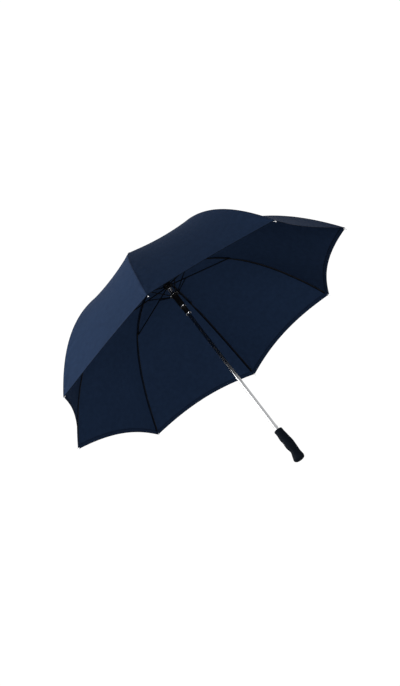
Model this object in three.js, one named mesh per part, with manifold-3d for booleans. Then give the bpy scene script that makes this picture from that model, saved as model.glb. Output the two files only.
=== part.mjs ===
// Auto-open golf umbrella, shown open. Millimetres, +Z up the shaft towards the crown.
// The origin is the centre of the small flat under the grip. Rib 1 lies along +X.
import * as THREE from 'three';
import Module from 'manifold-3d';
import { mergeVertices } from 'three/addons/utils/BufferGeometryUtils.js';

const wasm = await Module();
wasm.setup();

// Overall frame
const RIB_COUNT = 8;
const RIM_RADIUS = 640;
const RIM_Z = 560;
const DOME_RISE = 368;
const DOME_POWER = 3;
const CROWN_DIP = 25;
const CROWN_DIP_REACH = 150;

// Linkage, in the plane of one rib: [distance from the shaft axis, height]
const RIB_PIVOT = [13, 903];
const RUNNER_PIVOT = [13, 841];
const ELBOW = [338, 872];
const RIVET = [14, 795];
const STRUT_REACH = 82;

// Side-by-side layers of the bars, as tangential spans
const RIB_LAYER = [-1.2, 1.2];
const STRETCHER_LAYER = [-3.3, -1.5];
const STRUT_LAYER = [-1.2, 0.6];
const OUTER_RIB_START_Y = 3.4;
const OUTER_RIB_START = 335;
const OUTER_RIB_CENTRED = 410;
const OUTER_RIB_END = 636;
const BAR_HALF_HEIGHT = 2;
const STRUT_HALF_HEIGHT = 1.7;
const ROD_RADIUS = 1.8;
const GAP = 0.3;

// Shaft and fittings
const SHAFT_RADIUS = 7;
const SHAFT_BORE = 6.1;
const SHAFT_BOTTOM = 12;
const SHAFT_TOP = 933;
const NOTCH_Z = [895, 905.3];
const HEAD_RADIUS = 16.5;
const SLOT_ROOT = 9.3;
const RUNNER_HEAD_Z = [834.5, 848.5];
const SLIDER_TOP = 800;
const SLIDER_STEP = 731;
const SLIDER_BOTTOM = 697;
const SPRING_SEAT = 744;
const SPRING_TURNS = 10;
const SPRING_RADIUS = 8.35;
const SPRING_BORE = 9.6;
const CATCH_Z = 147;
const WASHER_Z = [908.2, 909.8];
const FERRULE_Z = [910.1, 944];

// Grip
const GRIP_TOP = 135.7;
const GRIP_FLAT = 8;
const GRIP_BORE = 9.2;

// Canopy
const FABRIC = 0.9;
const FABRIC_LIFT = 3.6;
const FABRIC_HOLE = 7.6;
const FABRIC_CORNER = 639.5;
const PANEL_SAG = 0.025;
const HEM_SCALLOP = 0.0255;

const group = new THREE.Group();
group.name = 'golf_umbrella';

function material(color, metalness, roughness) {
  return new THREE.MeshStandardMaterial({ color, metalness, roughness });
}

function addMesh(name, geometry, look, turn = 0) {
  geometry.rotateZ(turn);
  geometry.computeVertexNormals();
  const mesh = new THREE.Mesh(geometry, look);
  mesh.name = name;
  group.add(mesh);
}

// A closed geometry from points and triangles, turned to face outwards
function closedGeometry(points, triangles) {
  let volume = 0;
  for (const [a, b, c] of triangles) {
    volume += points[a].dot(new THREE.Vector3().crossVectors(points[b], points[c])) / 6;
  }
  const geometry = new THREE.BufferGeometry();
  const flat = points.flatMap((p) => [p.x, p.y, p.z]);
  geometry.setAttribute('position', new THREE.Float32BufferAttribute(flat, 3));
  const order = triangles.flatMap(([a, b, c]) => (volume < 0 ? [a, c, b] : [a, b, c]));
  geometry.setIndex(order);
  return geometry;
}

// Rings of equal count joined in a row and capped at both ends
function loft(rings) {
  const count = rings[0].length;
  const points = rings.flat();
  const triangles = [];
  for (let i = 0; i + 1 < rings.length; i++) {
    for (let j = 0; j < count; j++) {
      const k = (j + 1) % count;
      const a = i * count + j;
      const b = i * count + k;
      const c = (i + 1) * count + k;
      const d = (i + 1) * count + j;
      triangles.push([a, b, c], [a, c, d]);
    }
  }
  const last = (rings.length - 1) * count;
  const middle = (ring) => ring.reduce((s, p) => s.add(p), new THREE.Vector3()).divideScalar(count);
  const bottom = points.push(middle(rings[0])) - 1;
  const top = points.push(middle(rings[rings.length - 1])) - 1;
  for (let j = 0; j < count; j++) {
    const k = (j + 1) % count;
    triangles.push([bottom, k, j], [top, last + j, last + k]);
  }
  return closedGeometry(points, triangles);
}

// A body turned about the Z axis from [radius, height] pairs that form a closed loop
function turned(profile, segments) {
  const points = [];
  const triangles = [];
  const index = [];
  for (const [r, z] of profile) {
    if (r === 0) {
      const only = points.push(new THREE.Vector3(0, 0, z)) - 1;
      index.push(Array(segments).fill(only));
      continue;
    }
    const row = [];
    for (let j = 0; j < segments; j++) {
      const a = (2 * Math.PI * j) / segments;
      row.push(points.push(new THREE.Vector3(r * Math.cos(a), r * Math.sin(a), z)) - 1);
    }
    index.push(row);
  }
  for (let i = 0; i < profile.length; i++) {
    const here = index[i];
    const next = index[(i + 1) % profile.length];
    if (profile[i][0] === 0 && profile[(i + 1) % profile.length][0] === 0) {
      continue;
    }
    for (let j = 0; j < segments; j++) {
      const k = (j + 1) % segments;
      if (here[j] !== here[k]) {
        triangles.push([here[j], here[k], next[k]]);
      }
      if (next[j] !== next[k]) {
        triangles.push([here[j], next[k], next[j]]);
      }
    }
  }
  return closedGeometry(points, triangles);
}

// A flat outline in the rib plane, given a thickness along the tangent
function plate(outline, [low, high]) {
  const shape = new THREE.Shape(outline.map(([r, z]) => new THREE.Vector2(r, z)));
  const geometry = new THREE.ExtrudeGeometry(shape, { depth: high - low, bevelEnabled: false });
  geometry.rotateX(Math.PI / 2);
  geometry.translate(0, high, 0);
  return geometry;
}

function toManifold(geometry) {
  const bare = geometry.clone();
  bare.deleteAttribute('normal');
  bare.deleteAttribute('uv');
  const welded = mergeVertices(bare, 1e-4);
  return new wasm.Manifold(
    new wasm.Mesh({
      numProp: 3,
      vertProperties: new Float32Array(welded.attributes.position.array),
      triVerts: new Uint32Array(welded.index.array),
    }),
  );
}

function fromManifold(body) {
  const mesh = body.getMesh();
  const geometry = new THREE.BufferGeometry();
  geometry.setAttribute('position', new THREE.Float32BufferAttribute(mesh.vertProperties, 3));
  geometry.setIndex(Array.from(mesh.triVerts));
  return geometry;
}

// A ring with one slot per rib, each slot spanning [low, high] along the tangent
function slottedRing(bore, root, outer, [low, high], [bottom, top]) {
  const shape = new THREE.Shape();
  const corners = [];
  const step = (2 * Math.PI) / RIB_COUNT;
  for (let k = 0; k < RIB_COUNT; k++) {
    const turn = k * step;
    const local = (r, y) => {
      const x = Math.sqrt(r * r - y * y);
      const c = Math.cos(turn);
      const s = Math.sin(turn);
      return new THREE.Vector2(x * c - y * s, x * s + y * c);
    };
    corners.push(local(outer, low), local(root, low), local(root, high), local(outer, high));
    const from = turn + Math.asin(high / outer);
    const to = turn + step + Math.asin(low / outer);
    const middle = (from + to) / 2;
    corners.push(new THREE.Vector2(outer * Math.cos(middle), outer * Math.sin(middle)));
  }
  shape.setFromPoints(corners);
  const hole = new THREE.Path();
  const round = [];
  for (let j = 0; j < 16; j++) {
    const a = (-2 * Math.PI * j) / 16;
    round.push(new THREE.Vector2(bore * Math.cos(a), bore * Math.sin(a)));
  }
  hole.setFromPoints(round);
  shape.holes.push(hole);
  const geometry = new THREE.ExtrudeGeometry(shape, { depth: top - bottom, bevelEnabled: false });
  geometry.translate(0, 0, bottom);
  return geometry;
}

function box([x0, x1], [y0, y1], [z0, z1]) {
  const geometry = new THREE.BoxGeometry(x1 - x0, y1 - y0, z1 - z0);
  geometry.translate((x0 + x1) / 2, (y0 + y1) / 2, (z0 + z1) / 2);
  return geometry;
}

// Height of a rib's centre line at a distance from the shaft axis
function ribHeight(r) {
  const dome = DOME_RISE * (1 - (r / RIM_RADIUS) ** DOME_POWER);
  const near = Math.max(r - RIB_PIVOT[0], 0) / CROWN_DIP_REACH;
  return RIM_Z + dome - CROWN_DIP * Math.exp(-(near ** 1.5));
}

function ribNormal(r) {
  const slope = (ribHeight(r + 0.5) - ribHeight(r - 0.5)) / 1;
  const length = Math.hypot(1, slope);
  return [-slope / length, 1 / length];
}

// A straight bar with rounded ends between two points of the rib plane
function barOutline([r0, z0], [r1, z1], half) {
  const angle = Math.atan2(z1 - z0, r1 - r0);
  const outline = [];
  for (let i = 0; i <= 4; i++) {
    const a = angle - Math.PI / 2 + (Math.PI * i) / 4;
    outline.push([r1 + half * Math.cos(a), z1 + half * Math.sin(a)]);
  }
  for (let i = 0; i <= 4; i++) {
    const a = angle + Math.PI / 2 + (Math.PI * i) / 4;
    outline.push([r0 + half * Math.cos(a), z0 + half * Math.sin(a)]);
  }
  return outline;
}

// Colours and finishes
const navyFabric = material(0x1c2b45, 0, 0.85);
const blackMetal = material(0x101114, 0.6, 0.45);
const blackRod = material(0x15161a, 0.1, 0.4);
const chrome = material(0xcfd2d6, 1, 0.15);
const steel = material(0xa9adb2, 1, 0.3);
const blackPlastic = material(0x141518, 0, 0.5);
const foam = material(0x1d2736, 0, 0.9);

// Inner half of a rib: a thin steel bar from the notch to just past the elbow, with an eye at each
function ribInner() {
  const top = [];
  const bottom = [];
  const stations = [17, 45, 90, 140, 190, 240, 285, 320, 336];
  for (const r of stations) {
    const [nx, nz] = ribNormal(r);
    top.push([r + nx * BAR_HALF_HEIGHT, ribHeight(r) + nz * BAR_HALF_HEIGHT]);
    if (r < 330) {
      bottom.push([r - nx * BAR_HALF_HEIGHT, ribHeight(r) - nz * BAR_HALF_HEIGHT]);
    }
  }
  const elbow = [];
  for (const a of [-0.08, -0.28, -0.5, -0.75, -0.98]) {
    elbow.push([ELBOW[0] + 3 * Math.cos(a * Math.PI), ELBOW[1] + 3 * Math.sin(a * Math.PI)]);
  }
  const eye = [];
  for (const a of [-0.5, -0.75, -1, -1.25, -1.5]) {
    eye.push([RIB_PIVOT[0] + 2 * Math.cos(a * Math.PI), RIB_PIVOT[1] + 2 * Math.sin(a * Math.PI)]);
  }
  return plate([...top, ...elbow, ...bottom.reverse(), ...eye], RIB_LAYER);
}

// Outer half of a rib: a springy rod that starts beside the elbow and moves back to the rib plane
function ribOuter() {
  const points = [];
  const steps = 12;
  for (let i = 0; i <= steps; i++) {
    const r = OUTER_RIB_START + ((OUTER_RIB_END - OUTER_RIB_START) * i) / steps;
    const way = Math.min(1, (r - OUTER_RIB_START) / (OUTER_RIB_CENTRED - OUTER_RIB_START));
    const y = OUTER_RIB_START_Y * (1 - way) ** 2 * (1 + 2 * way);
    points.push(new THREE.Vector3(r, y, ribHeight(r)));
  }
  const path = new THREE.CatmullRomCurve3(points);
  const section = new THREE.Shape();
  for (let j = 0; j < 6; j++) {
    const a = (Math.PI * j) / 3;
    const x = ROD_RADIUS * Math.cos(a);
    const y = ROD_RADIUS * Math.sin(a);
    if (j === 0) {
      section.moveTo(x, y);
    } else {
      section.lineTo(x, y);
    }
  }
  section.closePath();
  return new THREE.ExtrudeGeometry(section, { steps: 14, extrudePath: path, bevelEnabled: false });
}

// Metal tip: a cup over the rod's end with a short blunt peg beyond it
function ribTip() {
  const reach = 6;
  const profile = [
    [0, 0],
    [2.1, 0],
    [2.1, -reach],
    [2.9, -reach],
    [2.9, 3],
    [1.9, 6],
    [1.7, 13],
    [0, 14],
  ];
  const geometry = turned(profile, 10);
  const slope = ribHeight(OUTER_RIB_END + 0.5) - ribHeight(OUTER_RIB_END - 0.5);
  geometry.rotateY(Math.PI / 2 + Math.atan(-slope));
  const length = Math.hypot(1, slope);
  const r = OUTER_RIB_END + GAP / length;
  const z = ribHeight(OUTER_RIB_END) + (GAP * slope) / length;
  geometry.translate(r, 0, z);
  return geometry;
}

function stretcher() {
  return plate(barOutline(RUNNER_PIVOT, ELBOW, BAR_HALF_HEIGHT), STRETCHER_LAYER);
}

function strut() {
  const [r0, z0] = RUNNER_PIVOT;
  const length = Math.hypot(ELBOW[0] - r0, ELBOW[1] - z0);
  const share = STRUT_REACH / length;
  const joint = [r0 + (ELBOW[0] - r0) * share, z0 + (ELBOW[1] - z0) * share];
  return plate(barOutline(RIVET, joint, STRUT_HALF_HEIGHT), STRUT_LAYER);
}

// A point of the canopy's underside. along: 0 at the crown hole, 1 at the hem.
// across: -1 and 1 at the middles of the two neighbouring panels, 0 on the rib's seam.
function canopyPoint(along, across, lift) {
  const half = Math.PI / RIB_COUNT;
  const w = Math.abs(across);
  const bow = 1 - (1 - w) ** 2;
  const hem = FABRIC_CORNER * (1 - HEM_SCALLOP * bow);
  const r = FABRIC_HOLE + (hem - FABRIC_HOLE) * along;
  const [nx, nz] = ribNormal(r);
  const sag = PANEL_SAG * r * bow * Math.sin(Math.min(1, r / 420) * Math.PI * 0.5);
  const offset = FABRIC_LIFT + lift - sag;
  const rr = r + nx * offset;
  const z = ribHeight(r) + nz * offset;
  const x = rr * (1 - w * Math.sin(half) ** 2);
  const y = rr * w * Math.sin(half) * Math.cos(half) * Math.sign(across || 1);
  return new THREE.Vector3(x, y, z);
}

// One eighth of the canopy, from the middle of one panel over a rib to the middle of the next
function gore() {
  const rows = 14;
  const columns = 6;
  const points = [];
  const triangles = [];
  const gapShare = 0.997;
  for (const lift of [0, FABRIC]) {
    for (let i = 0; i <= rows; i++) {
      for (let j = 0; j <= columns; j++) {
        const across = ((2 * j) / columns - 1) * gapShare;
        const along = Math.sin((i / rows) * 0.5 * Math.PI) * 0.35 + (i / rows) * 0.65;
        points.push(canopyPoint(along, across, lift));
      }
    }
  }
  const layer = (rows + 1) * (columns + 1);
  const at = (s, i, j) => s * layer + i * (columns + 1) + j;
  for (let i = 0; i < rows; i++) {
    for (let j = 0; j < columns; j++) {
      triangles.push([at(0, i, j), at(0, i, j + 1), at(0, i + 1, j + 1)]);
      triangles.push([at(0, i, j), at(0, i + 1, j + 1), at(0, i + 1, j)]);
      triangles.push([at(1, i, j), at(1, i + 1, j + 1), at(1, i, j + 1)]);
      triangles.push([at(1, i, j), at(1, i + 1, j), at(1, i + 1, j + 1)]);
    }
  }
  const wall = (i0, j0, i1, j1) => {
    triangles.push([at(0, i0, j0), at(0, i1, j1), at(1, i1, j1)]);
    triangles.push([at(0, i0, j0), at(1, i1, j1), at(1, i0, j0)]);
  };
  for (let j = 0; j < columns; j++) {
    wall(0, j + 1, 0, j);
    wall(rows, j, rows, j + 1);
  }
  for (let i = 0; i < rows; i++) {
    wall(i, 0, i + 1, 0);
    wall(i + 1, columns, i, columns);
  }
  return closedGeometry(points, triangles);
}

for (let k = 0; k < RIB_COUNT; k++) {
  const turn = (2 * Math.PI * k) / RIB_COUNT;
  const n = k + 1;
  addMesh(`rib_inner_${n}`, ribInner(), blackMetal, turn);
  addMesh(`rib_outer_${n}`, ribOuter(), blackRod, turn);
  addMesh(`rib_tip_${n}`, ribTip(), chrome, turn);
  addMesh(`stretcher_${n}`, stretcher(), blackMetal, turn);
  addMesh(`spring_strut_${n}`, strut(), blackMetal, turn);
  addMesh(`canopy_gore_${n}`, gore(), navyFabric, turn);
}

// Shaft: a steel tube, slotted for the catch
const tube = turned(
  [
    [SHAFT_BORE, SHAFT_BOTTOM],
    [SHAFT_RADIUS, SHAFT_BOTTOM],
    [SHAFT_RADIUS, SHAFT_TOP],
    [SHAFT_BORE, SHAFT_TOP],
  ],
  24,
);
const catchSlot = box([3.5, 8.5], [-1.7, 1.7], [CATCH_Z - 3, CATCH_Z + 14]);
addMesh('shaft_tube', fromManifold(toManifold(tube).subtract(toManifold(catchSlot))), chrome);

// Bottom catch: a leaf inside the tube with a nose that is flat below and ramped above
const catchOutline = [
  [3, CATCH_Z - 27],
  [4.2, CATCH_Z - 27],
  [4.2, CATCH_Z],
  [10.4, CATCH_Z],
  [10.4, CATCH_Z + 2],
  [6.5, CATCH_Z + 11],
  [4.2, CATCH_Z + 13],
  [4.2, CATCH_Z + 28],
  [3, CATCH_Z + 28],
];
addMesh('bottom_catch', plate(catchOutline, [-1.3, 1.3]), steel);

// Top notch: a slotted ring that holds the ribs' inner eyes, on a short sleeve
const notchRing = slottedRing(SHAFT_RADIUS + GAP, SLOT_ROOT, HEAD_RADIUS, [-1.6, 1.6], NOTCH_Z);
const notchSleeve = turned(
  [
    [SHAFT_RADIUS + GAP, NOTCH_Z[0] - 11],
    [9, NOTCH_Z[0] - 11],
    [9.2, NOTCH_Z[0] + 1],
    [SHAFT_RADIUS + GAP, NOTCH_Z[0] + 1],
  ],
  16,
);
addMesh('top_notch', fromManifold(toManifold(notchRing).add(toManifold(notchSleeve))), blackPlastic);

// Crown washer and ferrule above the fabric
const washer = [
  [SHAFT_RADIUS + GAP, WASHER_Z[0]],
  [17, WASHER_Z[0]],
  [17, WASHER_Z[0] + 0.9],
  [15.5, WASHER_Z[1]],
  [SHAFT_RADIUS + GAP, WASHER_Z[1]],
];
addMesh('crown_washer', turned(washer, 24), blackPlastic);

const ferrule = [
  [SHAFT_RADIUS + GAP, FERRULE_Z[0]],
  [12.5, FERRULE_Z[0]],
  [12.5, FERRULE_Z[0] + 2],
  [10.4, FERRULE_Z[0] + 7],
  [9.4, FERRULE_Z[0] + 13],
  [8.8, FERRULE_Z[1] - 3],
  [6.4, FERRULE_Z[1]],
  [0, FERRULE_Z[1]],
  [0, SHAFT_TOP + 1],
  [SHAFT_RADIUS + GAP, SHAFT_TOP + 1],
];
addMesh('ferrule', turned(ferrule, 20), blackPlastic);

// Stretcher runner: a sleeve on the shaft with a slotted head for the stretchers
const runnerBore = SHAFT_RADIUS + 0.5;
const head = slottedRing(runnerBore, SLOT_ROOT, HEAD_RADIUS, [-3.7, 1.0], RUNNER_HEAD_Z);
const runnerSleeve = turned(
  [
    [runnerBore, RUNNER_HEAD_Z[0] - 6.5],
    [9.2, RUNNER_HEAD_Z[0] - 6.5],
    [9.2, RUNNER_HEAD_Z[1] + 8],
    [8.7, RUNNER_HEAD_Z[1] + 10],
    [runnerBore, RUNNER_HEAD_Z[1] + 10],
  ],
  16,
);
addMesh('stretcher_runner', fromManifold(toManifold(head).add(toManifold(runnerSleeve))), blackPlastic);

// Opening spring: a coil between the runner and the slider's seat
const springTop = RUNNER_HEAD_Z[0] - 6.5 - GAP - 1;
const springBottom = SPRING_SEAT + GAP + 1;
class Coil extends THREE.Curve {
  getPoint(t) {
    const a = 2 * Math.PI * SPRING_TURNS * t;
    const z = springBottom + (springTop - springBottom) * t;
    return new THREE.Vector3(SPRING_RADIUS * Math.cos(a), SPRING_RADIUS * Math.sin(a), z);
  }
}
const wire = new THREE.Shape();
for (let j = 0; j < 5; j++) {
  const a = (2 * Math.PI * j) / 5;
  if (j === 0) {
    wire.moveTo(0.85, 0);
  } else {
    wire.lineTo(0.85 * Math.cos(a), 0.85 * Math.sin(a));
  }
}
wire.closePath();
const coil = new THREE.ExtrudeGeometry(wire, {
  steps: SPRING_TURNS * 9,
  extrudePath: new Coil(),
  bevelEnabled: false,
});
addMesh('opening_spring', coil, steel);

// Spring slider: a housing for the spring with a slotted rim for the struts and a latch window
const lugRing = slottedRing(SPRING_BORE, 11.6, 17, [-1.6, 1.0], [SLIDER_TOP - 10, SLIDER_TOP]);
const housing = turned(
  [
    [SPRING_BORE, SLIDER_TOP],
    [SPRING_BORE, SPRING_SEAT],
    [SHAFT_RADIUS + 0.5, SPRING_SEAT],
    [SHAFT_RADIUS + 0.5, SLIDER_BOTTOM],
    [10, SLIDER_BOTTOM],
    [10, SLIDER_STEP - 1.5],
    [11.5, SLIDER_STEP],
    [11.5, SLIDER_TOP - 1],
    [10.9, SLIDER_TOP],
  ],
  20,
);
const latchWindow = box([5, 12], [-2.6, 2.6], [705, 719.5]);
const slider = toManifold(housing).add(toManifold(lugRing)).subtract(toManifold(latchWindow));
addMesh('spring_slider', fromManifold(slider), blackPlastic);

function band(inner, outer, low, high) {
  return turned(
    [
      [inner, low],
      [outer - 0.5, low],
      [outer, low + 0.8],
      [outer, high - 0.8],
      [outer - 0.5, high],
      [inner, high],
    ],
    24,
  );
}
addMesh('slider_ring_upper', band(11.8, 13.2, 733, 738), chrome);
addMesh('slider_ring_lower', band(10.3, 12, 697.4, 702.4), chrome);

// Grip: foam with finger grooves on one side and a palm swell on the other
// [height, palm side half width, finger side half width, side half width]
const gripStations = [
  [0, GRIP_FLAT, GRIP_FLAT, GRIP_FLAT],
  [1.6, 14.4, 14.2, 13.4],
  [5.2, 19, 19.4, 16.6],
  [10.7, 21, 22.2, 18.2],
  [15.7, 21.2, 21, 18.5],
  [21.7, 20.6, 19, 18],
  [27.7, 20, 17, 17.4],
  [34.7, 20.2, 14.4, 17],
  [41.7, 20.4, 12.5, 16.6],
  [51, 21, 13.8, 16.6],
  [61.7, 21.6, 16, 17],
  [70, 22, 16, 17.2],
  [79, 21.6, 15.4, 17],
  [88, 20.6, 15.6, 16.8],
  [97, 19.4, 16.8, 16.6],
  [106, 18.6, 16.6, 16.4],
  [116, 17.4, 15.6, 16],
  [126, 16.4, 15.6, 15.8],
  [133.5, 16, 15.8, 15.8],
  [GRIP_TOP, 14.8, 14.8, 14.8],
];
function gripRing([z, palm, finger, side], scale = 1) {
  const ring = [];
  for (let j = 0; j < 20; j++) {
    const a = (2 * Math.PI * j) / 20;
    const reach = Math.cos(a) > 0 ? palm : finger;
    ring.push(new THREE.Vector3(reach * Math.cos(a) * scale, side * Math.sin(a) * scale, z));
  }
  return ring;
}
const boreRing = (z) => gripRing([z, GRIP_BORE, GRIP_BORE, GRIP_BORE]);
const grip = loft([...gripStations.map((s) => gripRing(s)), boreRing(GRIP_TOP), boreRing(10)]);
addMesh('grip', grip, foam);

const core = [
  [SHAFT_RADIUS + GAP, 10.4],
  [8.9, 10.4],
  [8.9, GRIP_TOP + 1.4],
  [SHAFT_RADIUS + GAP, GRIP_TOP + 1.4],
];
addMesh('grip_core', turned(core, 16), blackPlastic);

export default group;
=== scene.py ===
"""Looks of an auto-open golf umbrella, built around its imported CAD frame. Metres, +Z up the shaft."""
import math

import bmesh
import bpy
import numpy as np
from mathutils import Matrix, Vector


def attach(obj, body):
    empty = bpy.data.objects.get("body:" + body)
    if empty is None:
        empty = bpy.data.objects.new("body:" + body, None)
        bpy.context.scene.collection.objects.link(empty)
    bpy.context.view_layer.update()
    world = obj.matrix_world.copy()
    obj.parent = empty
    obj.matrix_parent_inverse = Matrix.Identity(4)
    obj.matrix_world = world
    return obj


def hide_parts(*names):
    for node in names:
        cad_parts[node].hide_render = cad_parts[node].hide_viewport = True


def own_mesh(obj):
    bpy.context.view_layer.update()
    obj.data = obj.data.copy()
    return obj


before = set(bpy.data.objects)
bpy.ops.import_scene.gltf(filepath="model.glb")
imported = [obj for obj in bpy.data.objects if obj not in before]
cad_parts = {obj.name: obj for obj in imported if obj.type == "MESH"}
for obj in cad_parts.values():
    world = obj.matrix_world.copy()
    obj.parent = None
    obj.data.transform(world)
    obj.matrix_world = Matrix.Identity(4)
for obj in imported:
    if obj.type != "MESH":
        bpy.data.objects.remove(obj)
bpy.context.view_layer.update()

MM = 0.001
RIBS = 8
HALF = math.pi / RIBS

# ---------------------------------------------------------------- driving sizes, as in the frame
RIM_RADIUS = 640 * MM
RIM_Z = 560 * MM
DOME_RISE = 368 * MM
DOME_POWER = 3.0
CROWN_DIP = 25 * MM
CROWN_DIP_REACH = 150 * MM
RIB_PIVOT = (13 * MM, 903 * MM)
RUNNER_PIVOT = (13 * MM, 841 * MM)
ELBOW = (338 * MM, 872 * MM)
STRUT_REACH = 82 * MM
ROD_RADIUS = 1.8 * MM
ROD_START = 335 * MM
ROD_CENTRED = 410 * MM
ROD_SIDE = 3.4 * MM
ROD_END = 636 * MM

CLOTH = 0.5 * MM
CLOTH_LIFT = 3.6 * MM
CORNER = 639.5 * MM
PANEL_SAG = 0.026
HEM_SCALLOP = 0.0255
HEM_WIDTH = 8 * MM
SEAM_HALF = 2.4 * MM
TIES = (416 * MM, 552 * MM)

# Where the folded cloth would go; this script doesn't fold it. Up to the elbow it is cut into rings that
# would lie round the bundle, each given as the radius it starts at in millimetres and the share of its width
# that it would keep. Beyond the elbow it would flatten onto a plane that leans inwards.
INNER_RINGS = ((7.6, 0.86), (33, 0.68), (52, 0.53), (78, 0.42), (110, 0.355), (150, 0.295),
               (205, 0.22), (260, 0.15), (300, 0.09))
FOLD_LEAN = 0.24
CHORD_NORMAL = np.array((0.719, 0, 0.695))
CHORD_ANCHOR = np.array((502.2, 0, 725.2)) * MM


# ---------------------------------------------------------------- mesh tools
def turned_to_rib(points, rib):
    """Points of rib 1's frame, turned about the shaft to another rib."""
    a = 2 * HALF * (rib - 1)
    c, s = math.cos(a), math.sin(a)
    return np.asarray(points) @ np.array([[c, s, 0], [-s, c, 0], [0, 0, 1]])


def new_piece(name, points, faces, materials, normals=None, uv=None, slots=None, sharp=None):
    mesh = bpy.data.meshes.new(name)
    mesh.from_pydata([tuple(p) for p in points], [], faces)
    mesh.update()
    mesh.shade_smooth()
    if sharp is not None:
        mesh.set_sharp_from_angle(angle=math.radians(sharp))
    if uv is not None:
        corner = np.zeros(len(mesh.loops), np.int32)
        mesh.loops.foreach_get("vertex_index", corner)
        layer = mesh.uv_layers.new(name="cloth")
        layer.data.foreach_set("uv", np.asarray(uv, np.float32)[corner].ravel())
    if normals is not None:
        mesh.normals_split_custom_set_from_vertices([tuple(n) for n in normals])
    for m in materials if isinstance(materials, (list, tuple)) else [materials]:
        mesh.materials.append(m)
    if slots is not None:
        mesh.polygons.foreach_set("material_index", np.asarray(slots, np.int32))
    piece = bpy.data.objects.new(name, mesh)
    bpy.context.scene.collection.objects.link(piece)
    return piece


def grid_faces(rows, columns, start=0, wrap=False):
    faces = []
    for i in range(rows - 1):
        for j in range(columns if wrap else columns - 1):
            a, b = start + i * columns + j, start + i * columns + (j + 1) % columns
            faces.append((a, a + columns, b + columns, b))
    return faces


def shell(top, bottom):
    """Points and faces of a closed thin sheet from two grids. Rows run outwards and columns to the left."""
    rows, columns = top.shape[:2]
    n = rows * columns
    faces = grid_faces(rows, columns) + [f[::-1] for f in grid_faces(rows, columns, n)]
    rim = [i * columns for i in range(rows)]
    rim += [(rows - 1) * columns + j for j in range(1, columns)]
    rim += [i * columns + columns - 1 for i in range(rows - 2, -1, -1)]
    rim += list(range(columns - 2, 0, -1))
    for i, a in enumerate(rim):
        b = rim[(i + 1) % len(rim)]
        faces.append((a, a + n, b + n, b))
    return np.concatenate([top.reshape(-1, 3), bottom.reshape(-1, 3)]), faces


def tube(line, radii, sides=8, closed=False, stretch=(1, 1)):
    """Points and faces of a round or oval tube along a line, with flat ends unless it closes on itself."""
    line = np.asarray(line, float)
    n = len(line)
    ahead = np.roll(line, -1, 0) - np.roll(line, 1, 0) if closed else np.gradient(line, axis=0)
    ahead /= np.linalg.norm(ahead, axis=1)[:, None]
    start = np.cross(ahead[0], (0, 0, 1) if abs(ahead[0][2]) < 0.9 else (1, 0, 0))
    across = np.zeros((n, 3))
    for i in range(n):
        start = start - ahead[i] * (start @ ahead[i])
        start /= np.linalg.norm(start)
        across[i] = start
    other = np.cross(ahead, across)
    a = 2 * np.pi * np.arange(sides) / sides
    size = np.broadcast_to(radii, n)[:, None, None]
    first = np.cos(a)[None, :, None] * across[:, None] * stretch[0]
    second = np.sin(a)[None, :, None] * other[:, None] * stretch[1]
    points = (line[:, None] + size * (first + second)).reshape(-1, 3)
    faces = [f[::-1] for f in grid_faces(n, sides, wrap=True)]
    last = (n - 1) * sides
    if closed:
        faces += [(last + j, last + (j + 1) % sides, (j + 1) % sides, j) for j in range(sides)]
    else:
        faces += [tuple(range(sides))[::-1], tuple(last + j for j in range(sides))]
    return points, faces


def lathe(profile, segments=64):
    """Points and faces of a closed loop of (radius, height) in millimetres, turned about the shaft's axis."""
    points, faces, rings = [], [], []
    for r, z in profile:
        if r == 0:
            rings.append([len(points)] * segments)
            points.append((0, 0, z * MM))
            continue
        rings.append(list(range(len(points), len(points) + segments)))
        for j in range(segments):
            a = 2 * math.pi * j / segments
            points.append((r * MM * math.cos(a), r * MM * math.sin(a), z * MM))
    for here, ahead in zip(rings, rings[1:] + rings[:1]):
        for j in range(segments):
            k = (j + 1) % segments
            face = [here[j], here[k], ahead[k], ahead[j]]
            face = [v for i, v in enumerate(face) if v not in face[:i]]
            if len(face) > 2:
                faces.append(tuple(face))
    return np.array(points), faces


def slotted_ring(bore, root, outer, slot, heights):
    """Points and faces of a ring with a slot for each rib, in millimetres. slot is its tangential span."""
    outline = []
    for k in range(RIBS):
        turn = 2 * HALF * k
        for r, y in ((outer, slot[0]), (root, slot[0]), (root, slot[1]), (outer, slot[1])):
            a = turn + math.asin(y / r)
            outline.append((r, a))
        first, last = turn + math.asin(slot[1] / outer), turn + 2 * HALF + math.asin(slot[0] / outer)
        outline += [(outer, first + (last - first) * i / 6) for i in range(1, 6)]
    inner = [(bore, a) for r, a in outline]
    loops = [(outline, heights[0]), (outline, heights[1]), (inner, heights[1]), (inner, heights[0])]
    points = [(r * math.cos(a) * MM, r * math.sin(a) * MM, z * MM) for loop, z in loops for r, a in loop]
    n = len(outline)
    faces = []
    for i in range(4):
        for j in range(n):
            k = (j + 1) % n
            faces.append((i * n + j, i * n + k, (i + 1) % 4 * n + k, (i + 1) % 4 * n + j))
    return np.array(points), faces


class Heap:
    """Gathers closed bodies into one mesh, each with its own material."""

    def __init__(self):
        self.points, self.faces, self.slots, self.count = [], [], [], 0

    def add(self, body, slot=0):
        points, faces = body
        self.points.append(np.asarray(points, float))
        self.faces += [tuple(i + self.count for i in f) for f in faces]
        self.slots += [slot] * len(faces)
        self.count += len(points)
        return self

    def piece(self, name, materials, rib=1, **more):
        points = turned_to_rib(np.concatenate(self.points), rib)
        piece = new_piece(name, points, self.faces, materials, slots=self.slots, **more)
        outwards = bmesh.new()
        outwards.from_mesh(piece.data)
        bmesh.ops.recalc_face_normals(outwards, faces=outwards.faces)
        outwards.to_mesh(piece.data)
        outwards.free()
        return piece


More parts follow.
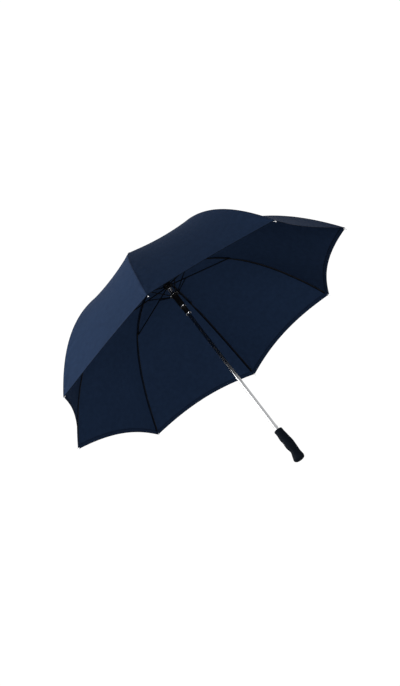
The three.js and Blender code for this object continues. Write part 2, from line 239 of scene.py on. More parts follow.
def soften(piece, width, angle=32, segments=2):
    """Small rounded edges that catch the light."""
    bevel = piece.modifiers.new("edges", "BEVEL")
    bevel.width = width
    bevel.segments = segments
    bevel.limit_method = "ANGLE"
    bevel.angle_limit = math.radians(angle)
    bevel.miter_outer = "MITER_ARC"
    return piece


def cut_box(piece, low, high):
    """Cuts a box, in millimetres, out of a piece and keeps the result as its mesh."""
    bpy.ops.mesh.primitive_cube_add(size=1)
    cutter = bpy.context.object
    cutter.scale = [(h - l) * MM for l, h in zip(low, high)]
    cutter.location = [(h + l) / 2 * MM for l, h in zip(low, high)]
    boolean = piece.modifiers.new("cut", "BOOLEAN")
    boolean.object = cutter
    boolean.operation = "DIFFERENCE"
    bpy.context.view_layer.update()
    evaluated = piece.evaluated_get(bpy.context.evaluated_depsgraph_get())
    mesh = bpy.data.meshes.new_from_object(evaluated)
    piece.modifiers.clear()
    piece.data = mesh
    bpy.data.objects.remove(cutter)
    return piece


# ---------------------------------------------------------------- shape of ribs and cloth
def rib_height(r):
    dome = DOME_RISE * (1 - (np.abs(r) / RIM_RADIUS) ** DOME_POWER)
    near = np.maximum(r - RIB_PIVOT[0], 0) / CROWN_DIP_REACH
    return RIM_Z + dome - CROWN_DIP * np.exp(-(near ** 1.5))


def rib_normal(r):
    step = 0.5 * MM
    slope = (rib_height(r + step) - rib_height(r - step)) / (2 * step)
    length = np.hypot(1, slope)
    return -slope / length, 1 / length


def ripples(r, w, rib, side):
    """Small folds of the stretched cloth: puckers beside the seam, and folds from the ties and the corner."""
    across = w * r * math.sin(HALF) * math.cos(HALF)
    turn = rib * 1.7 + side * 0.9
    near_seam = np.exp(-((across / (15 * MM)) ** 2))
    pucker = 0.25 * near_seam * np.sin(2 * np.pi * r / (21 * MM) + turn)
    pucker = pucker * (0.6 + 0.4 * np.sin(2 * np.pi * r / (170 * MM) + 2 * turn))
    slack = 1.1 * np.sin(np.pi * w) * np.sin(2 * np.pi * r / (330 * MM) + turn)
    folds = 0
    for place, size in ((TIES[0], 0.5), (TIES[1], 0.6), (CORNER, 1.2)):
        out = np.maximum(np.hypot(r - place, across), 1e-5)
        angle = np.arctan2(across, r - place)
        fan = np.exp(-((out / (70 * MM)) ** 2)) * (1 - np.exp(-((out / (14 * MM)) ** 2)))
        folds = folds + size * fan * np.cos(7 * angle + turn)
    return (pucker + slack + folds) * MM * (1 - w) ** 2 * np.minimum(1, across / (5 * MM))


def cloth(r, w, rib):
    """Middle of the cloth, in rib 1's frame. w is 0 on the seam, and -1 or 1 at the middle of a panel."""
    a, side = np.abs(w), np.where(w < 0, -1.0, 1.0)
    bow = 1 - (1 - a) ** 2
    nx, nz = rib_normal(r)
    sag = PANEL_SAG * r * bow * np.sin(np.minimum(1, r / (420 * MM)) * np.pi / 2)
    offset = CLOTH_LIFT + CLOTH / 2 - sag + ripples(r, a, rib, side)
    rr = r + nx * offset
    x = rr * (1 - a * math.sin(HALF) ** 2)
    y = side * rr * a * math.sin(HALF) * math.cos(HALF)
    return np.stack([x, y, rib_height(r) + nz * offset], axis=-1)


def cloth_normal(r, w, rib):
    step_r, step_w = 0.5 * MM, 0.004
    along = cloth(r + step_r, w, rib) - cloth(r - step_r, w, rib)
    across = cloth(r, np.minimum(w + step_w, 1), rib) - cloth(r, np.maximum(w - step_w, -1), rib)
    n = np.cross(along, across)
    return n / np.linalg.norm(n, axis=-1, keepdims=True)


def hem_radius(w):
    return CORNER * (1 - HEM_SCALLOP * (1 - (1 - np.abs(w)) ** 2))


def at_width(r, y):
    """The w of a point y to the left of the seam."""
    return np.clip(y / (r * math.sin(HALF) * math.cos(HALF)), -1, 1)


def strip(rib, r, w, low, high):
    """A closed strip on the cloth, over grids of r and w, between two heights from the cloth's middle."""
    r, w = np.broadcast_arrays(r, w)
    middle, normal = cloth(r, w, rib), cloth_normal(r, w, rib)
    high, low = (np.broadcast_to(h, r.shape)[..., None] for h in (high, low))
    return shell(middle + normal * high, middle + normal * low)


def stitches(heap, rib, r, w, height, slot, pitch=3.6 * MM, length=2.3 * MM, thread=0.22 * MM):
    """A row of short threads that lie along a line of the cloth, given as r and w."""
    line = cloth(r, w, rib) + cloth_normal(r, w, rib) * height
    gone = np.concatenate([[0], np.cumsum(np.linalg.norm(np.diff(line, axis=0), axis=1))])
    for i in range(int(gone[-1] / pitch)):
        places = np.array((0.05, 0.5, 0.95)) * length + i * pitch
        short = np.stack([np.interp(places, gone, line[:, axis]) for axis in range(3)], axis=1)
        heap.add(tube(short, np.array((0.55, 1, 0.55)) * thread, sides=5), slot)


# ---------------------------------------------------------------- materials
class Look:
    """A Principled material with short names for the nodes it needs."""

    def __init__(self, name, slot, roughness=0.5, metallic=0.0, **uniform):
        self.material = bpy.data.materials.new(name)
        self.material.use_nodes = True
        self.slot = slot
        self.tree = self.material.node_tree
        self.shader = self.tree.nodes["Principled BSDF"]
        self.shader.inputs["Roughness"].default_value = roughness
        self.shader.inputs["Metallic"].default_value = metallic
        for key, value in uniform.items():
            self.shader.inputs[key.replace("_", " ")].default_value = value
        self.height = None

    def node(self, kind, **inputs):
        node = self.tree.nodes.new(kind)
        for key, value in inputs.items():
            socket = node.inputs[key.replace("_", " ")]
            if isinstance(value, bpy.types.NodeSocket):
                self.tree.links.new(value, socket)
            else:
                socket.default_value = value
        return node

    def place(self, source="Object", stretch=(1, 1, 1)):
        coordinates = self.node("ShaderNodeTexCoord").outputs[source]
        return self.node("ShaderNodeMapping", Vector=coordinates, Scale=stretch).outputs["Vector"]

    def noise(self, where, scale, detail=4.0, roughness=0.55):
        node = self.node("ShaderNodeTexNoise", Vector=where, Scale=scale, Detail=detail, Roughness=roughness)
        return node.outputs["Fac"]

    def band(self, where, scale, direction):
        node = self.node("ShaderNodeTexWave", Vector=where, Scale=scale, Distortion=0.6)
        node.bands_direction = direction
        node.inputs["Detail Scale"].default_value = 0.4
        return node.outputs["Fac"]

    def cells(self, where, scale):
        return self.node("ShaderNodeTexVoronoi", Vector=where, Scale=scale).outputs["Distance"]

    def spread(self, value, low, high, to_low=0.0, to_high=1.0):
        node = self.node("ShaderNodeMapRange", Value=value, From_Min=low, From_Max=high)
        node.inputs["To Min"].default_value = to_low
        node.inputs["To Max"].default_value = to_high
        return node.outputs["Result"]

    def math(self, kind, first, second):
        node = self.tree.nodes.new("ShaderNodeMath")
        node.operation = kind
        for socket, value in zip(node.inputs, (first, second)):
            if isinstance(value, bpy.types.NodeSocket):
                self.tree.links.new(value, socket)
            else:
                socket.default_value = value
        return node.outputs[0]

    def mix(self, share, first, second):
        node = self.tree.nodes.new("ShaderNodeMix")
        node.data_type = "RGBA"
        for socket, value in zip((node.inputs[0], node.inputs[6], node.inputs[7]), (share, first, second)):
            if isinstance(value, bpy.types.NodeSocket):
                self.tree.links.new(value, socket)
            else:
                socket.default_value = value if isinstance(value, float) else (*value, 1)
        return node.outputs[2]

    def colour(self, value):
        self.tree.links.new(value, self.shader.inputs["Base Color"])

    def rough(self, value):
        self.tree.links.new(value, self.shader.inputs["Roughness"])

    def bump(self, height, depth, strength=1.0):
        inputs = {"Height": height, "Distance": depth, "Strength": strength}
        node = self.node("ShaderNodeBump", **inputs)
        if self.height is not None:
            self.tree.links.new(self.height, node.inputs["Normal"])
        self.height = node.outputs["Normal"]
        self.tree.links.new(self.height, self.shader.inputs["Normal"])


def cloth_look(name, dark, light, thread_pitch=0.55 * MM, mapped=True):
    look = Look(name, "canopy_fabric", 0.85, Specular_IOR_Level=0.05)
    where = look.place("UV" if mapped else "Object")
    scale = 2 * math.pi / (20 * thread_pitch)
    warp, weft = look.band(where, scale, "X"), look.band(where, scale, "Y")
    weave = look.math("MAXIMUM", warp, weft)
    mottle = look.noise(look.place(), 55, 5)
    cloud = look.noise(look.place(), 5, 2)
    slub = look.noise(look.place("UV" if mapped else "Object", (900, 60, 60)), 1, 3)
    tone = look.math("MULTIPLY", look.spread(mottle, 0.3, 0.7), 0.55)
    tone = look.math("ADD", tone, look.math("MULTIPLY", look.spread(cloud, 0.3, 0.7), 0.25))
    tone = look.math("ADD", tone, look.math("MULTIPLY", weave, 0.2))
    look.colour(look.mix(tone, dark, light))
    look.rough(look.spread(slub, 0.3, 0.7, 0.78, 0.92))
    look.bump(weave, 0.06 * MM, 0.7)
    look.bump(mottle, 0.12 * MM, 0.5)
    return look


def metal_look(name, slot, dark, light, rough, streak=(1, 1, 1), depth=0.01, metallic=1.0, scale=90):
    look = Look(name, slot, 0.3, metallic, Specular_IOR_Level=0.5 if metallic else 0.12)
    grain = look.noise(look.place(stretch=streak), scale, 6, 0.65)
    wear = look.noise(look.place(), 14, 4)
    look.colour(look.mix(look.spread(wear, 0.35, 0.65), dark, light))
    look.rough(look.spread(grain, 0.3, 0.7, *rough))
    look.bump(grain, depth * MM, 0.5)
    return look


def plastic_look(name, slot, dark, light, rough, grain_scale=900, depth=0.02, specular=0.12):
    look = Look(name, slot, 0.5, 0.0, Specular_IOR_Level=specular)
    grain = look.noise(look.place(), grain_scale, 3)
    cloud = look.noise(look.place(), 30, 4)
    look.colour(look.mix(look.spread(cloud, 0.3, 0.7), dark, light))
    look.rough(look.spread(cloud, 0.3, 0.7, *rough))
    look.bump(grain, depth * MM, 0.6)
    return look


def foam_look():
    look = Look("grip_foam", "grip_foam", 0.9, 0.0, Specular_IOR_Level=0.05)
    pores = look.cells(look.place(), 950)
    lumps = look.noise(look.place(), 160, 4)
    hand = look.noise(look.place(), 26, 3)
    pits_and_pit_shade = look.spread(pores, 0.1, 0.5)
    # The colour darkens in the pore pits: painted shade in the recesses, on top of the pits' bump.
    tone = look.math("MULTIPLY", pits_and_pit_shade, look.spread(hand, 0.3, 0.7, 0.55, 1.0))
    look.colour(look.mix(tone, (0.001, 0.0018, 0.0035), (0.003, 0.0055, 0.010)))
    look.rough(look.spread(lumps, 0.3, 0.7, 0.55, 0.8))
    look.bump(pits_and_pit_shade, 0.05 * MM, 0.5)
    look.bump(lumps, 0.12 * MM, 0.3)
    return look


NAVY_DARK, NAVY_LIGHT = (0.0085, 0.0185, 0.044), (0.0125, 0.0265, 0.062)
canopy_cloth = cloth_look("canopy_cloth", NAVY_DARK, NAVY_LIGHT)
hem_cloth = cloth_look("hem_cloth", (0.0065, 0.014, 0.034), (0.0095, 0.020, 0.048), mapped=False)
# Near-black cloth whose colour is painted shade along the seams beside the rods; the hems' rolled rims are
# drawn in it too.
shade_tape_cloth = cloth_look("seam_tape_painted_shade", (0.0008, 0.0014, 0.003), (0.0016, 0.0028, 0.006), mapped=False)
thread = plastic_look(
    "sewing_thread", "canopy_fabric", (0.006, 0.010, 0.022), (0.012, 0.02, 0.04), (0.6, 0.8),
    grain_scale=2500, depth=0.05,
)
black_steel = metal_look(
    "black_enamelled_steel", "black_steel", (0.0015, 0.0015, 0.002), (0.004, 0.004, 0.005), (0.32, 0.5),
    metallic=0.0, depth=0.02, scale=400,
)
black_rod = plastic_look(
    "black_glass_fibre", "black_rod", (0.0012, 0.0012, 0.0016), (0.003, 0.003, 0.004), (0.3, 0.5),
)
chrome = metal_look(
    "polished_shaft", "bright_metal", (0.35, 0.355, 0.365), (0.43, 0.435, 0.445), (0.12, 0.22),
    streak=(60, 60, 1.5), depth=0.0001, scale=40,
)
bright = metal_look("bright_plating", "bright_metal", (0.72, 0.73, 0.75), (0.86, 0.87, 0.88), (0.14, 0.3))
wire = metal_look(
    "drawn_wire", "spring_steel", (0.42, 0.43, 0.45), (0.6, 0.61, 0.63), (0.22, 0.42), depth=0.02,
)
moulded = plastic_look(
    "black_moulding", "black_plastic", (0.003, 0.003, 0.0035), (0.008, 0.008, 0.009), (0.28, 0.48),
)
foam = foam_look()


def finish_piece(piece, body, look, *nodes):
    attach(piece, body)
    if nodes:
        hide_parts(*nodes)
    return piece


# ---------------------------------------------------------------- canopy
ELBOW_R = ELBOW[0]
TRIM_LOOKS = [hem_cloth.material, thread.material, shade_tape_cloth.material]
RING_ROWS, RING_STEP, RING_COLUMNS = 9, 4.6, 49
OUTER_ROWS, OUTER_COLUMNS = 76, 41


def flatten(piece, rib, side):
    """Works out the axis and anchor about which a piece of cloth would fold onto its rib as the rib turns
    down, and gives the piece its own mesh; it doesn't fold the piece.
    """
    tangent = np.array((0.0, 1.0, 0.0))
    axis, anchor = tangent, np.zeros(3)
    if side:
        axis = side * math.sqrt(1 - FOLD_LEAN ** 2) * tangent - FOLD_LEAN * CHORD_NORMAL
        anchor = CHORD_ANCHOR
    axis, anchor = turned_to_rib(axis, rib), turned_to_rib(anchor, rib)
    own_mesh(piece)


def cloth_piece(name, rib, r, w):
    middle, normal = cloth(r, w, rib), cloth_normal(r, w, rib)
    points, faces = shell(middle + normal * CLOTH / 2, middle - normal * CLOTH / 2)
    n = normal.reshape(-1, 3)
    uv = np.stack([(w * r * math.sin(HALF) * math.cos(HALF)).ravel(), r.ravel()], axis=1)
    normals = turned_to_rib(np.concatenate([n, -n]), rib)
    points = turned_to_rib(points, rib)
    return new_piece(name, points, faces, canopy_cloth.material, normals, np.concatenate([uv, uv]))


def share_grid(rows, columns, low_w, high_w):
    return np.meshgrid(np.linspace(0, 1, rows), np.linspace(low_w, high_w, columns), indexing="ij")


def seam_trim(heap, rib, r, low, high):
    """The felled seam over the rib: a low ridge outside, a near-black tape inside that paints the shade along
    the seam beside the rod, a row of stitches on each side.
    """
    y = np.linspace(low, high, 5)[None, :]
    crown = 0.35 * MM * (1 - 0.6 * (y / SEAM_HALF) ** 2) + CLOTH / 2
    heap.add(strip(rib, r[:, None], at_width(r[:, None], y), 0.1 * MM, crown), 0)
    for side in (-1, 1):
        row = side * 1.7 * MM
        if low <= row <= high:
            stitches(heap, rib, r, at_width(r, row), CLOTH / 2 + 0.28 * MM, 1)
    # The tape's near-black colour is painted shade: the dark line along the seam beside the rod.
    if high > 0:
        shadow_strip = np.linspace(2.8 * MM, 7.2 * MM, 3)[None, :]
        heap.add(strip(rib, r[:, None], at_width(r[:, None], shadow_strip), -CLOTH / 2 - 0.55 * MM, -0.1 * MM), 2)


def hem_trim(heap, rib, side):
    """The folded hem inside the edge, its rolled rim, and its stitches on both faces."""
    w = side * np.linspace(0.012, 1, 60)
    depth = np.linspace(-0.5 * MM, HEM_WIDTH, 4)
    rows = hem_radius(w)[:, None] - depth[None, :]
    first, second = (rows, w[:, None]) if side < 0 else (rows[:, ::-1], w[:, None])
    heap.add(strip(rib, first, second, -CLOTH / 2 - 0.6 * MM, -0.1 * MM), 0)
    edge = cloth(hem_radius(w) + 0.2 * MM, w, rib) - cloth_normal(hem_radius(w), w, rib) * 0.25 * MM
    # The rolled rim takes the near-black cloth whose colour is painted shade, so its dark edge line is
    # painted shade too.
    heap.add(tube(edge, 0.75 * MM, sides=8), 2)
    line = hem_radius(w) - (HEM_WIDTH - 1.5 * MM)
    stitches(heap, rib, line, w, CLOTH / 2 + 0.05 * MM, 1)
    stitches(heap, rib, line, w, -CLOTH / 2 - 0.65 * MM, 1)


def canopy_rib(rib):
    node = f"canopy_gore_{rib}"
    seam = Heap()
    seam_trim(seam, rib, np.linspace(20 * MM, ELBOW_R, 120), -SEAM_HALF, SEAM_HALF)
    seam_inner = finish_piece(seam.piece(f"seam_inner_{rib}", TRIM_LOOKS, rib), f"inner_rib_{rib}", hem_cloth)
    flatten(seam_inner, rib, 0)
    ends = [start for start, _ in INNER_RINGS[1:]] + [ELBOW_R / MM]
    for ring, ((start, keep), end) in enumerate(zip(INNER_RINGS, ends), 1):
        low, high = start * MM, end * MM
        share, w = share_grid(max(RING_ROWS, round((end - start) / RING_STEP)), RING_COLUMNS, -1, 1)
        inner = cloth_piece(f"canopy_inner_{rib}_{ring}", rib, low + (high - low) * share, w)
        finish_piece(inner, f"inner_rib_{rib}", canopy_cloth, node)
        flatten(inner, rib, 0)
    for side, word in ((1, "left"), (-1, "right")):
        share, w = share_grid(OUTER_ROWS, OUTER_COLUMNS, min(0, side), max(0, side))
        r = ELBOW_R + (hem_radius(w) - ELBOW_R) * share
        outer = cloth_piece(f"canopy_outer_{rib}_{word}", rib, r, w)
        trim = Heap()
        along = np.linspace(ELBOW_R, CORNER - 1 * MM, 110)
        seam_trim(trim, rib, along, *((0, SEAM_HALF) if side > 0 else (-SEAM_HALF, 0)))
        hem_trim(trim, rib, side)
        hem = trim.piece(f"hem_{rib}_{word}", TRIM_LOOKS, rib)
        for piece, look in ((outer, canopy_cloth), (hem, hem_cloth)):
            finish_piece(piece, f"outer_rib_{rib}", look)
            flatten(piece, rib, side)
        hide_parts(node)


for rib in range(1, RIBS + 1):
    canopy_rib(rib)


# ---------------------------------------------------------------- ribs, rods, tips and rivets
def rod_line(r):
    way = np.minimum(1, (r - ROD_START) / (ROD_CENTRED - ROD_START))
    return np.stack([r, ROD_SIDE * (1 - way) ** 2 * (1 + 2 * way), rib_height(r)], axis=-1)


def pin(r, z, low, high, head):
    """A rivet through the bars at a point of the rib plane, with domed heads. Its sizes are millimetres."""
    dome, shank = head * 0.4, head * 0.5
    profile = [(0, low - dome), (head * 0.55, low - dome * 0.8), (head, low - 0.1), (head, low), (shank, low)]
    profile += [(shank, high), (head, high), (head, high + 0.1)]
    profile += [(head * 0.55, high + dome * 0.8), (0, high + dome)]
    points, faces = lathe(profile, 20)
    return np.stack([points[:, 0] + r, points[:, 2], points[:, 1] + z], axis=1), [f[::-1] for f in faces]


def outer_rod(rib):
    r = np.linspace(ROD_START, ROD_END, 48)
    rod = Heap().add(tube(rod_line(r), ROD_RADIUS, sides=16))
    collar = rod_line(np.linspace(ROD_START - 2 * MM, ROD_START + 13 * MM, 6))
    rod.add(tube(collar, np.array((2.0, 2.35, 2.35, 2.35, 2.3, 1.9)) * MM, sides=16))
    piece = rod.piece(f"rod_outer_{rib}", black_rod.material, rib, sharp=40)
    finish_piece(piece, f"outer_rib_{rib}", black_rod, f"rib_outer_{rib}")


def rib_ties(rib):
    """Thread wound round the rod and sewn through the seam, at two places."""
    wound = Heap()
    for place in TIES:
        for i in range(6):
            r = place + (i - 2.5) * 0.8 * MM
            centre = rod_line(np.array(r))
            nx, nz = rib_normal(r)
            a = np.linspace(0, 2 * np.pi, 20, endpoint=False)
            up = 0.75 * MM + 2.75 * MM * np.cos(a)
            loop = centre + np.stack([nx * up, 2.15 * MM * np.sin(a), nz * up], axis=1)
            wound.add(tube(loop, 0.42 * MM, sides=6, closed=True))
        knot = rod_line(np.array([place - 1.6 * MM, place, place + 1.6 * MM])) - np.array((0, 0, 2.4 * MM))
        wound.add(tube(knot, np.array((0.5, 1.0, 0.5)) * MM, sides=8))
    piece = wound.piece(f"rib_tie_{rib}", thread.material, rib)
    finish_piece(piece, f"outer_rib_{rib}", thread)


def rib_tip(rib):
    """A plated cup over the rod's end with a blunt peg, in a small cloth pocket at the canopy's corner."""
    profile = [(0, 0), (1.85, 0), (1.85, -6), (2.7, -6), (2.9, -5.6), (2.9, 2.2), (2.6, 3.4), (1.95, 5.6)]
    profile += [(1.75, 8), (1.7, 12), (1.9, 12.6), (1.75, 13.5), (1.1, 13.95), (0, 14)]
    points, faces = lathe(profile, 28)
    nx, nz = rib_normal(ROD_END)
    ahead, up, side = np.array((nz, 0, -nx)), np.array((nx, 0, nz)), np.array((0, 1, 0))
    end = np.array((ROD_END, 0, rib_height(ROD_END)))
    placed = end + np.outer(points[:, 2], ahead) + np.outer(points[:, 0], up) + np.outer(points[:, 1], side)
    cap = Heap().add((placed, [f[::-1] for f in faces]))
    cap = cap.piece(f"tip_cap_{rib}", bright.material, rib, sharp=50)
    finish_piece(cap, f"outer_rib_{rib}", bright, f"rib_tip_{rib}")
    line = [end + ahead * d * MM for d in (-12, -10, -4, 1.5, 2.2)]
    pocket = Heap().add(tube(line, np.array((1.9, 3.0, 3.25, 3.2, 2.95)) * MM, sides=18), 0)
    for d in (-8.5, -2):
        a = np.linspace(0, 2 * np.pi, 16, endpoint=False)
        ring = end + ahead * d * MM + 3.25 * MM * (np.outer(np.cos(a), up) + np.outer(np.sin(a), side))
        pocket.add(tube(ring, 0.22 * MM, sides=5, closed=True), 1)
    piece = pocket.piece(f"tip_pocket_{rib}", [hem_cloth.material, thread.material], rib)
    finish_piece(piece, f"outer_rib_{rib}", hem_cloth)


def rib_rivets(rib):
    share = STRUT_REACH / math.hypot(ELBOW[0] - RUNNER_PIVOT[0], ELBOW[1] - RUNNER_PIVOT[1])
    joint = [a + (b - a) * share for a, b in zip(RUNNER_PIVOT, ELBOW)]
    elbow = Heap().add(pin(*ELBOW, -3.4, 5.3, 1.9))
    piece = elbow.piece(f"elbow_rivet_{rib}", black_steel.material, rib, sharp=50)
    finish_piece(piece, f"inner_rib_{rib}", black_steel)
    middle = Heap().add(pin(*joint, -3.4, 0.7, 1.5))
    piece = middle.piece(f"strut_rivet_{rib}", black_steel.material, rib, sharp=50)
    finish_piece(piece, f"stretcher_{rib}", black_steel)


for rib in range(1, RIBS + 1):
    outer_rod(rib)
    rib_ties(rib)
    rib_tip(rib)
    rib_rivets(rib)

for rib in range(1, RIBS + 1):
    for node in (f"rib_inner_{rib}", f"stretcher_{rib}", f"spring_strut_{rib}"):
        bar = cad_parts[node]
        bar.data.materials.clear()
        bar.data.materials.append(black_steel.material)
        soften(bar, 0.25 * MM)


# ---------------------------------------------------------------- shaft and its fittings
def smooth_line(stations, steps):
    """A smooth curve through stations, sampled evenly between them: monotone cubic in the first column."""
    stations = np.asarray(stations, float)
    z, values = stations[:, 0], stations[:, 1:]
    slope = np.gradient(values, z, axis=0)
    out = []
    for i in range(len(z) - 1):
        gap = z[i + 1] - z[i]
        for t in np.arange(steps) / steps:
            a, b = 2 * t ** 3 - 3 * t ** 2 + 1, t ** 3 - 2 * t ** 2 + t
            c, d = 3 * t ** 2 - 2 * t ** 3, t ** 3 - t ** 2
            row = a * values[i] + b * gap * slope[i] + c * values[i + 1] + d * gap * slope[i + 1]
            out.append([z[i] + gap * t, *row])
    out.append(list(stations[-1]))
    return np.array(out)


ROUND = 72
SHAFT_BORE, SHAFT_RADIUS, SHAFT_FOOT, SHAFT_TOP = 6.1, 7, 12, 933
CATCH_WINDOW = ((3.5, -1.7, 144), (8.5, 1.7, 161))
SLIDER_WINDOW = ((5, -2.6, 705), (12, 2.6, 719.5))

shaft = Heap().add(lathe([
    (SHAFT_BORE, SHAFT_FOOT), (SHAFT_RADIUS, SHAFT_FOOT), (SHAFT_RADIUS, SHAFT_TOP), (SHAFT_BORE, SHAFT_TOP),
], ROUND))
shaft = shaft.piece("shaft_polished_tube", chrome.material, sharp=40)
cut_box(shaft, *CATCH_WINDOW)
finish_piece(shaft, "shaft_and_grip", chrome, "shaft_tube")

notch = Heap().add(slotted_ring(7.3, 9.3, 16.5, (-1.6, 1.6), (895, 905.3)))
notch_sleeve = [(7.3, 884), (8.7, 884), (9, 884.4), (9, 888), (8.6, 888.4)]
notch_sleeve += [(8.6, 889.8), (9.1, 890.2), (9.2, 896), (7.3, 896)]
notch.add(lathe(notch_sleeve))
notch = soften(notch.piece("notch_moulding", moulded.material, sharp=35), 0.35 * MM)
finish_piece(notch, "shaft_and_grip", moulded, "top_notch")

washer_profile = [(7.3, 908.2), (17, 908.2), (17, 909.1), (16.4, 909.6), (15.5, 909.8), (7.3, 909.8)]
washer = Heap().add(lathe(washer_profile, ROUND))
washer = washer.piece("crown_washer_disc", moulded.material, sharp=35)
finish_piece(washer, "shaft_and_grip", moulded, "crown_washer")

ferrule_profile = [(7.3, 910.1), (12, 910.1), (12.5, 910.6), (12.5, 911.8), (12, 912.4), (11.2, 914.2)]
ferrule_profile += [(10.6, 916.5), (10, 919), (9.5, 922), (9.4, 923), (8.9, 923.4), (8.9, 924.6)]
ferrule_profile += [(9.3, 925), (9.2, 930)]
ferrule_profile += [(9.0, 937), (8.7, 940.5), (7.9, 942.6), (6.4, 944), (0, 944), (0, 934), (7.3, 934)]
ferrule = Heap().add(lathe(ferrule_profile, ROUND)).piece("ferrule_turned", moulded.material, sharp=42)
finish_piece(ferrule, "shaft_and_grip", moulded, "ferrule")

runner = Heap().add(slotted_ring(7.5, 9.3, 16.5, (-3.7, 1.0), (834.5, 848.5)))
runner_sleeve = [(7.5, 828), (8.9, 828), (9.2, 828.4), (9.2, 831), (8.7, 831.4), (8.7, 832.6), (9.2, 833)]
runner_sleeve += [(9.2, 850), (8.8, 850.4), (8.8, 851.8), (9.2, 852.2), (9.2, 856.2), (8.9, 857.4)]
runner_sleeve += [(8.4, 858.5), (7.5, 858.5)]
runner.add(lathe(runner_sleeve))
runner = soften(runner.piece("runner_moulding", moulded.material, sharp=35), 0.35 * MM)
finish_piece(runner, "runner", moulded, "stretcher_runner")

slider = Heap().add(slotted_ring(9.6, 11.6, 17, (-1.6, 1.0), (790, 800)))
slider_profile = [(9.6, 800), (9.6, 744), (7.5, 744), (7.5, 697), (9.6, 697), (10, 697.4), (10, 703.2)]
slider_profile += [(9.7, 703.6), (9.7, 728.6), (10, 729.2), (10.9, 730.6), (11.5, 731.6), (11.5, 740)]
slider_profile += [(11.1, 740.5), (11.1, 742), (11.5, 742.5), (11.5, 786), (11.1, 786.5), (11.1, 788)]
slider_profile += [(11.5, 788.5), (11.5, 799), (10.9, 800)]
slider = slider.add(lathe(slider_profile)).piece("slider_moulding", moulded.material, sharp=35)
cut_box(slider, *SLIDER_WINDOW)
finish_piece(soften(slider, 0.3 * MM), "slider", moulded, "spring_slider")


def plated_band(name, inner, outer, low, high, node):
    """A plated ring with a rounded outer face, in millimetres."""
    rise, swell, steps = (high - low) / 6, 0.55, 8
    arc = []
    for i in range(steps + 1):
        z = low + rise + (high - low - 2 * rise) * i / steps
        arc.append((outer - swell + swell * math.sin(math.pi * i / steps), z))
    profile = [(inner, low), (outer - 0.7, low), *arc, (outer - 0.7, high), (inner, high)]
    ring = Heap().add(lathe(profile, ROUND)).piece(name, bright.material, sharp=45)
    finish_piece(ring, "slider", bright, node)


plated_band("slider_band_upper", 11.8, 13.2, 733, 738, "slider_ring_upper")
plated_band("slider_band_lower", 10.3, 12.0, 697.4, 702.4, "slider_ring_lower")


def hoop(radius, z, wire_radius):
    """A closed wire ring through the pivots of the bars, in millimetres."""
    a = np.linspace(0, 2 * np.pi, ROUND, endpoint=False)
    line = np.stack([radius * np.cos(a), radius * np.sin(a), np.full(ROUND, z)], axis=1) * MM
    return tube(line, wire_radius * MM, sides=8, closed=True)


NOTCH_Z, RUNNER_Z, FEET_Z, WIRE_RADIUS = 903, 841, 795, 0.55
for name, body, radius, z in (
    ("notch_wire", "shaft_and_grip", 14.6, NOTCH_Z),
    ("runner_wire", "runner", 14.6, RUNNER_Z),
    ("slider_wire", "slider", 15.6, FEET_Z),
):
    hoop_piece = Heap().add(hoop(radius, z, WIRE_RADIUS)).piece(name, bright.material)
    finish_piece(hoop_piece, body, bright)

RIVET_FACE = 16.7
heads = Heap()
for rib in range(1, RIBS + 1):
    for y in (-3.3, 2.7):
        points, faces = lathe([(0, -0.6), (1.35, -0.6), (1.35, 0.1), (0.95, 0.7), (0, 1.0)], 16)
        out = [points[:, 2] + RIVET_FACE * MM, points[:, 0] + y * MM, points[:, 1] + FEET_Z * MM]
        out = np.stack(out, axis=1)
        heads.add((turned_to_rib(out, rib), faces))
slider_rivets = heads.piece("slider_rivets", bright.material, sharp=50)
finish_piece(slider_rivets, "slider", bright)

SPRING_LOW, SPRING_HIGH, SPRING_TURNS = 745.3 * MM, 826.7 * MM, 13
SPRING_RADIUS, COIL_WIRE = 8.35 * MM, 0.85 * MM
turns = np.linspace(0, 1, SPRING_TURNS * 30 + 1)
climb = np.clip((turns * SPRING_TURNS - 1) / (SPRING_TURNS - 2), 0, 1)
angle = 2 * np.pi * SPRING_TURNS * turns
spring_length = SPRING_HIGH - SPRING_LOW
coil = [SPRING_RADIUS * np.cos(angle), SPRING_RADIUS * np.sin(angle), SPRING_LOW + spring_length * climb]
spring = Heap().add(tube(np.stack(coil, axis=1), COIL_WIRE, sides=10)).piece("opening_coil", wire.material)
finish_piece(spring, "runner", wire, "opening_spring")
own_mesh(spring)

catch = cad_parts["bottom_catch"]
catch.data.materials.clear()
catch.data.materials.append(bright.material)
soften(catch, 0.2 * MM)

# ---------------------------------------------------------------- grip
# [height, palm side, finger side, flanks] in millimetres
GRIP = [
    (0, 8, 8, 8), (1.6, 14.4, 14.2, 13.4), (5.2, 19, 19.4, 16.6), (10.7, 21, 22.2, 18.2),
    (15.7, 21.2, 21, 18.5), (21.7, 20.6, 19, 18), (27.7, 20, 17, 17.4), (34.7, 20.2, 14.4, 17),
    (41.7, 20.4, 12.5, 16.6), (51, 21, 13.8, 16.6), (61.7, 21.6, 16, 17), (70, 22, 16, 17.2),
    (79, 21.6, 15.4, 17), (88, 20.6, 15.6, 16.8), (97, 19.4, 16.8, 16.6),
    (106, 18.6, 16.6, 16.4), (116, 17.4, 15.6, 16), (126, 16.4, 15.6, 15.8), (133.5, 16, 15.8, 15.8),
    (135.7, 14.8, 14.8, 14.8),
]


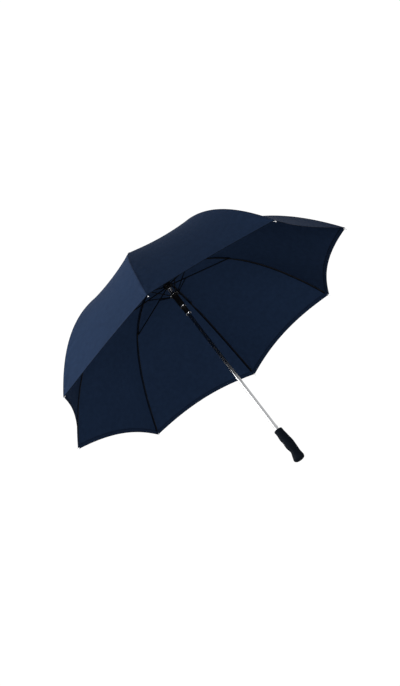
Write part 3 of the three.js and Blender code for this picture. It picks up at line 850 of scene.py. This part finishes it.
def grip_body():
    """The foam grip: its stations lofted into an oval with a palm side and a finger side, and its bore."""
    rows = smooth_line(GRIP, 6)
    bore = [(z, r, r, r) for z, r in ((135.7, 10.8), (134.8, 9.9), (134.2, 9.2), (10, 9.2))]
    rows = np.concatenate([rows, bore])
    a = 2 * np.pi * np.arange(ROUND) / ROUND
    c, s = np.cos(a), np.sin(a)
    toward_palm = 0.5 + 0.5 * np.tanh(c * 6)
    reach = rows[:, 1:2] * toward_palm + rows[:, 2:3] * (1 - toward_palm)
    part_line = 0.25 * np.exp(-((c / 0.035) ** 2))
    flank = rows[:, 3:4] - part_line * (rows[:, 3:4] > 8)
    points = np.stack([reach * c, flank * s, np.broadcast_to(rows[:, :1], reach.shape)], axis=-1) * MM
    n = len(rows)
    faces = [f[::-1] for f in grid_faces(n, ROUND, wrap=True)]
    faces += [tuple(range(ROUND))[::-1], tuple((n - 1) * ROUND + j for j in range(ROUND))]
    return new_piece("grip_moulded_foam", points.reshape(-1, 3), faces, foam.material, sharp=60)


grip = grip_body()
finish_piece(grip, "shaft_and_grip", foam, "grip")
collar = Heap().add(lathe([(7.3, 10.4), (8.9, 10.4), (8.9, 136.6), (8.5, 137.1), (7.3, 137.1)], 48))
collar = collar.piece("grip_collar", moulded.material, sharp=35)
finish_piece(collar, "shaft_and_grip", moulded, "grip_core")

# ---------------------------------------------------------------- floor, light and camera
FLOOR_Z, FLOOR_RADIUS = -2.7, 14
bpy.ops.mesh.primitive_circle_add(
    vertices=96, radius=FLOOR_RADIUS, fill_type="NGON", location=(0, 0, FLOOR_Z),
)
floor = bpy.context.object
floor.name = "floor"
floor_look = Look("pale_floor", "floor", 0.8)
floor_tone = floor_look.noise(floor_look.place(), 1.5, 3)
floor_tone = floor_look.spread(floor_tone, 0.3, 0.7)
floor_look.colour(floor_look.mix(floor_tone, (0.80, 0.80, 0.80), (0.86, 0.86, 0.86)))
floor.data.materials.append(floor_look.material)

world = bpy.data.worlds.new("studio")
bpy.context.scene.world = world
world.use_nodes = True
world_tree = world.node_tree
background = world_tree.nodes["Background"]
ray = world_tree.nodes.new("ShaderNodeLightPath")
strength = world_tree.nodes.new("ShaderNodeMix")
WORLD_SEEN, WORLD_LIGHT = 1.05, 0.2
strength.inputs[2].default_value = WORLD_SEEN
strength.inputs[3].default_value = WORLD_LIGHT
world_tree.links.new(ray.outputs["Is Diffuse Ray"], strength.inputs[0])
world_tree.links.new(strength.outputs[0], background.inputs["Strength"])
background.inputs["Color"].default_value = (1, 1, 1, 1)


def softbox(name, direction, distance, size, power, aim=(0, 0, 0.6)):
    """A round lamp that shines at aim from a direction."""
    data = bpy.data.lights.new(name, "AREA")
    data.shape = "DISK"
    data.size = size
    data.energy = power
    lamp = bpy.data.objects.new(name, data)
    bpy.context.scene.collection.objects.link(lamp)
    direction = Vector(direction).normalized()
    lamp.location = Vector(aim) + direction * distance
    lamp.rotation_euler = direction.to_track_quat("Z", "Y").to_euler()
    return lamp


softbox("key", (-0.85, -0.38, 0.42), 3.5, 2.2, 175)
softbox("fill", (0.38, -0.85, -0.4), 4.5, 2.6, 88)

camera_data = bpy.data.cameras.new("camera")
camera_data.sensor_fit = "AUTO"
camera_data.sensor_width = 36
camera_data.lens = 53.96
camera_data.clip_end = 60
camera = bpy.data.objects.new("camera", camera_data)
bpy.context.scene.collection.objects.link(camera)
CAMERA_PLACE = Vector((0.3686, -3.5182, -0.8049))
CAMERA_LOOK = Vector((-0.10564, 0.92541, 0.36395)).normalized()
CAMERA_ROLL = math.radians(37.285)
level_right = CAMERA_LOOK.cross(Vector((0, 0, 1))).normalized()
level_up = level_right.cross(CAMERA_LOOK)
camera_up = level_up * math.cos(CAMERA_ROLL) + level_right * math.sin(CAMERA_ROLL)
camera_right = CAMERA_LOOK.cross(camera_up)
camera_axes = Matrix((camera_right, camera_up, -CAMERA_LOOK)).transposed().to_4x4()
camera.matrix_world = Matrix.Translation(CAMERA_PLACE) @ camera_axes
bpy.context.scene.camera = camera
bpy.context.scene.view_settings.view_transform = "Standard"
